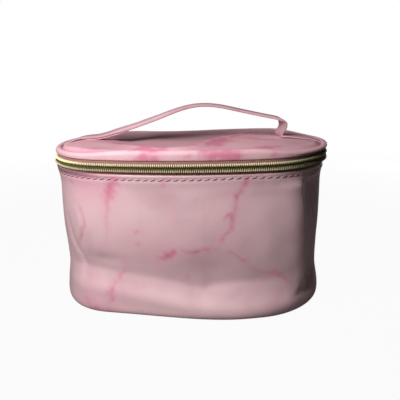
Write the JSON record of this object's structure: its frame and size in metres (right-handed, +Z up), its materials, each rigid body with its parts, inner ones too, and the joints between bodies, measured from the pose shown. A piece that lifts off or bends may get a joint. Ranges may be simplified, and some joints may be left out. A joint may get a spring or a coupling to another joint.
{
  "type": "makeup train case",
  "caption": "Soft oval makeup train case with a marble print, a zip-around lid hinged at the back and an arched strap handle on the lid.",
  "frame": {"origin": "centre of the flat base, on the surface it stands on", "axes": "+X along the length to the right as seen from the front, -Y towards the front, +Z up"},
  "size_m": [0.2264, 0.1292, 0.1624],
  "materials": {
    "marble_skin": "semi-gloss marbled PU leather",
    "padding_foam": "open-cell foam",
    "lining_cloth": "smooth woven polyester",
    "stiffener": "plain sheet",
    "zip_tape": "woven tape",
    "zip_coil": "gold-plated nylon coil",
    "zip_metal": "polished gold plate"
  },
  "bodies": {
    "case": {"outer_wall": "marble_skin", "wall_padding": "padding_foam", "wall_lining": "lining_cloth", "base_panel": "marble_skin", "base_board": "stiffener", "floor_lining": "lining_cloth", "floor_binding": "lining_cloth", "lower_zip_tape": "zip_tape", "lower_zip_coil": "zip_coil", "rear_hinge_strip": "marble_skin", "rear_hinge_backing": "zip_tape"},
    "lid": {"lid_band": "marble_skin", "lid_top_panel": "marble_skin", "lid_padding": "padding_foam", "lid_lining": "lining_cloth", "lid_seam_binding": "lining_cloth", "upper_zip_tape": "zip_tape", "upper_tape_end": "zip_tape", "upper_zip_coil": "zip_coil", "handle_end_left": "marble_skin", "handle_end_right": "marble_skin"},
    "handle": {"handle_strap": "marble_skin"},
    "slider": {"zip_slider": "zip_metal"},
    "pull_ring": {"pull_ring": "zip_metal"},
    "pull_tab": {"pull_tab": "zip_metal"}
  },
  "joints": [
    {"name": "lid_hinge", "type": "hinge", "parent": "case", "child": "lid", "pos_m": [0, 0.0615, 0.12245], "axis": [-1, 0, 0], "range_deg": [0, 110], "deforming": ["rear_hinge_strip", "rear_hinge_backing", "upper_tape_end"]},
    {"name": "handle_swing", "type": "hinge", "parent": "lid", "child": "handle", "pos_m": [-0.077, 0, 0.13712], "axis": [0.9975, 0, 0.0706], "range_deg": [-35, 35], "stiffness_Nm_per_rad": 0.01},
    {"name": "slider_travel", "type": "hinge", "parent": "case", "child": "slider", "pos_m": [0.053, 0, 0.122], "axis": [0, 0, -1], "range_deg": [0, 140], "deforming": ["lower_zip_coil", "upper_zip_coil"]},
    {"name": "pull_ring_swing", "type": "hinge", "parent": "slider", "child": "pull_ring", "pos_m": [0.0752, 0.06099, 0.122], "axis": [0.9397, -0.342, 0], "range_deg": [0, 165]},
    {"name": "pull_tab_swing", "type": "hinge", "parent": "pull_ring", "child": "pull_tab", "pos_m": [0.0752, 0.06099, 0.11895], "axis": [0.342, 0.9397, 0], "range_deg": [-35, 35]}
  ]
}
